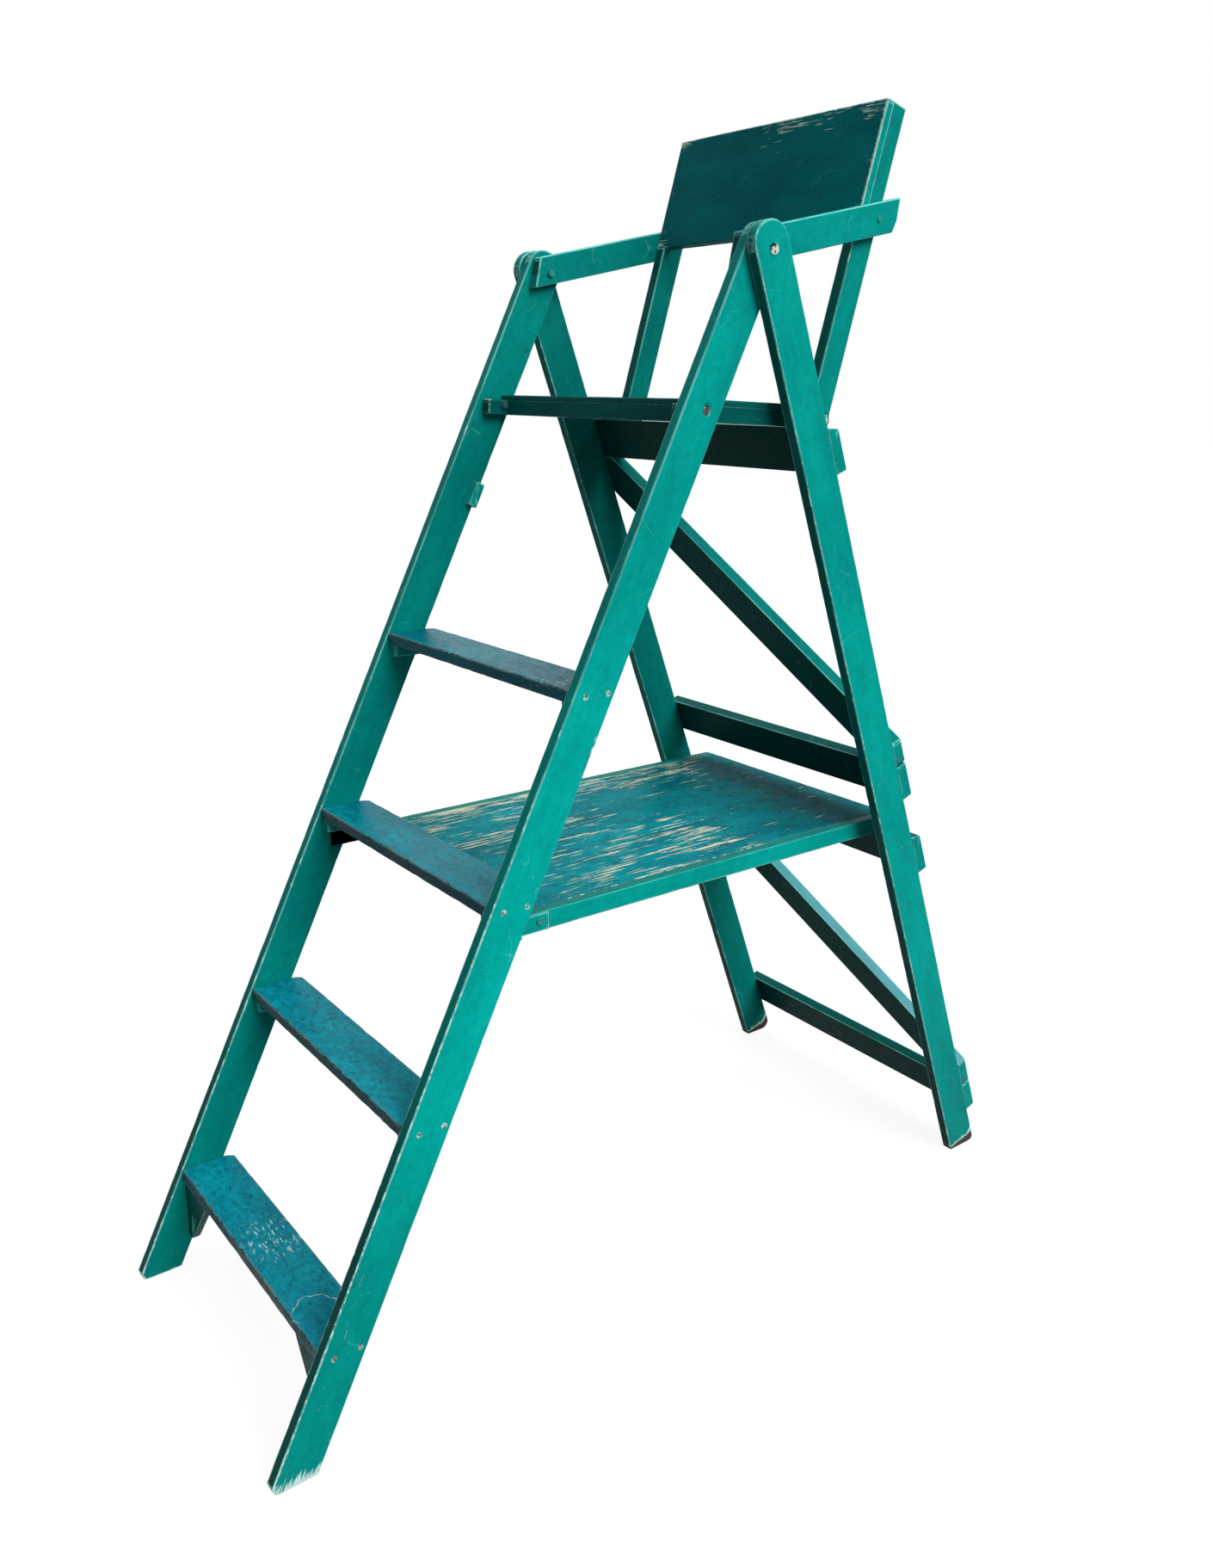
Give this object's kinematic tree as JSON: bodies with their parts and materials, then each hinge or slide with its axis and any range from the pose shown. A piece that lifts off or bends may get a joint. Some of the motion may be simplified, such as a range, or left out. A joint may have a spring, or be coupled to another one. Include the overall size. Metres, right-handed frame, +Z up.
{
  "type": "umpire chair",
  "caption": "Folding painted timber step chair: a ladder with flat treads, hinged braced rear frame, small raised seat with arms and backrest, and a slatted foot platform.",
  "frame": {"origin": "on the floor under the middle of the bounding box", "axes": "+X to the sitter's left, +Y to the rear (the treads face -Y), +Z up"},
  "size_m": [0.5868, 1.4146, 1.8021],
  "materials": {
    "frame_paint": "worn gloss paint",
    "tread_paint": "worn gloss paint",
    "dark_paint": "worn gloss paint",
    "steel": "dull, lightly rusted"
  },
  "bodies": {
    "ladder": {"apex_bolts": "steel", "apex_nuts": "steel", "apex_washers": "steel", "bump_block_left": "frame_paint", "bump_block_right": "frame_paint", "cleat_bottom_left": "frame_paint", "cleat_bottom_right": "frame_paint", "cleat_lower_left": "frame_paint", "cleat_lower_right": "frame_paint", "cleat_top_left": "frame_paint", "cleat_top_right": "frame_paint", "cleat_upper_left": "frame_paint", "cleat_upper_right": "frame_paint", "front_stile_left": "frame_paint", "front_stile_right": "frame_paint", "platform_bearer_left": "frame_paint", "platform_bearer_right": "frame_paint", "platform_pivot_bolts": "steel", "seat_pivot_bolts": "steel", "seat_pivot_nuts": "steel", "tread_bottom": "tread_paint", "tread_lower": "tread_paint", "tread_screws": "steel", "tread_top": "tread_paint", "tread_upper": "tread_paint"},
    "rear_frame": {"brace_lower": "frame_paint", "brace_upper": "frame_paint", "rear_frame_screws": "steel", "rear_leg_left": "frame_paint", "rear_leg_right": "frame_paint", "rear_rail_bottom": "frame_paint", "rear_rail_lower": "frame_paint", "rear_rail_top": "frame_paint", "rear_rail_upper": "frame_paint"},
    "seat": {"seat_board": "dark_paint", "seat_front_rail": "dark_paint", "seat_nails": "steel", "seat_rear_batten": "dark_paint", "seat_side_rail_left": "frame_paint", "seat_side_rail_right": "frame_paint"},
    "arms": {"arm_left": "frame_paint", "arm_right": "frame_paint", "back_pivot_bolts": "steel", "back_pivot_nuts": "steel"},
    "backrest": {"back_post_left": "frame_paint", "back_post_right": "frame_paint", "backrest_board": "dark_paint", "backrest_screws": "steel", "post_foot_bolts": "steel", "post_foot_nuts": "steel"},
    "platform": {"deck_board_left": "tread_paint", "deck_board_middle": "tread_paint", "deck_board_right": "tread_paint", "platform_batten_front": "frame_paint", "platform_batten_rear": "frame_paint", "platform_nails": "steel", "platform_side_rail_left": "frame_paint", "platform_side_rail_right": "frame_paint"}
  },
  "joints": [
    {"name": "fold", "type": "hinge", "parent": "ladder", "child": "rear_frame", "pos_m": [0, 0.08645, 1.575], "axis": [-1, 0, 0], "range_deg": [0, 42]},
    {"name": "seat_tilt", "type": "hinge", "parent": "ladder", "child": "seat", "pos_m": [0, -0.00655, 1.367], "axis": [-1, 0, 0], "range_deg": [0, 25.3]},
    {"name": "arm_swing", "type": "hinge", "parent": "ladder", "child": "arms", "pos_m": [0, 0.08645, 1.575], "axis": [-1, 0, 0], "range_deg": [0, 26.5]},
    {"name": "backrest_lean", "type": "hinge", "parent": "arms", "child": "backrest", "pos_m": [0, 0.33257, 1.63471], "axis": [-1, 0, 0], "range_deg": [-20.2, 0]},
    {"name": "platform_tilt", "type": "hinge", "parent": "ladder", "child": "platform", "pos_m": [0, -0.26255, 0.686], "axis": [-1, 0, 0], "range_deg": [0, 21.7]}
  ],
  "couplings": [
    {"joint": "seat_tilt", "follows": "fold", "ratio": 0.6},
    {"joint": "arm_swing", "follows": "fold", "ratio": 0.6307},
    {"joint": "backrest_lean", "follows": "fold", "ratio": -0.4786},
    {"joint": "platform_tilt", "follows": "fold", "ratio": 0.515}
  ]
}
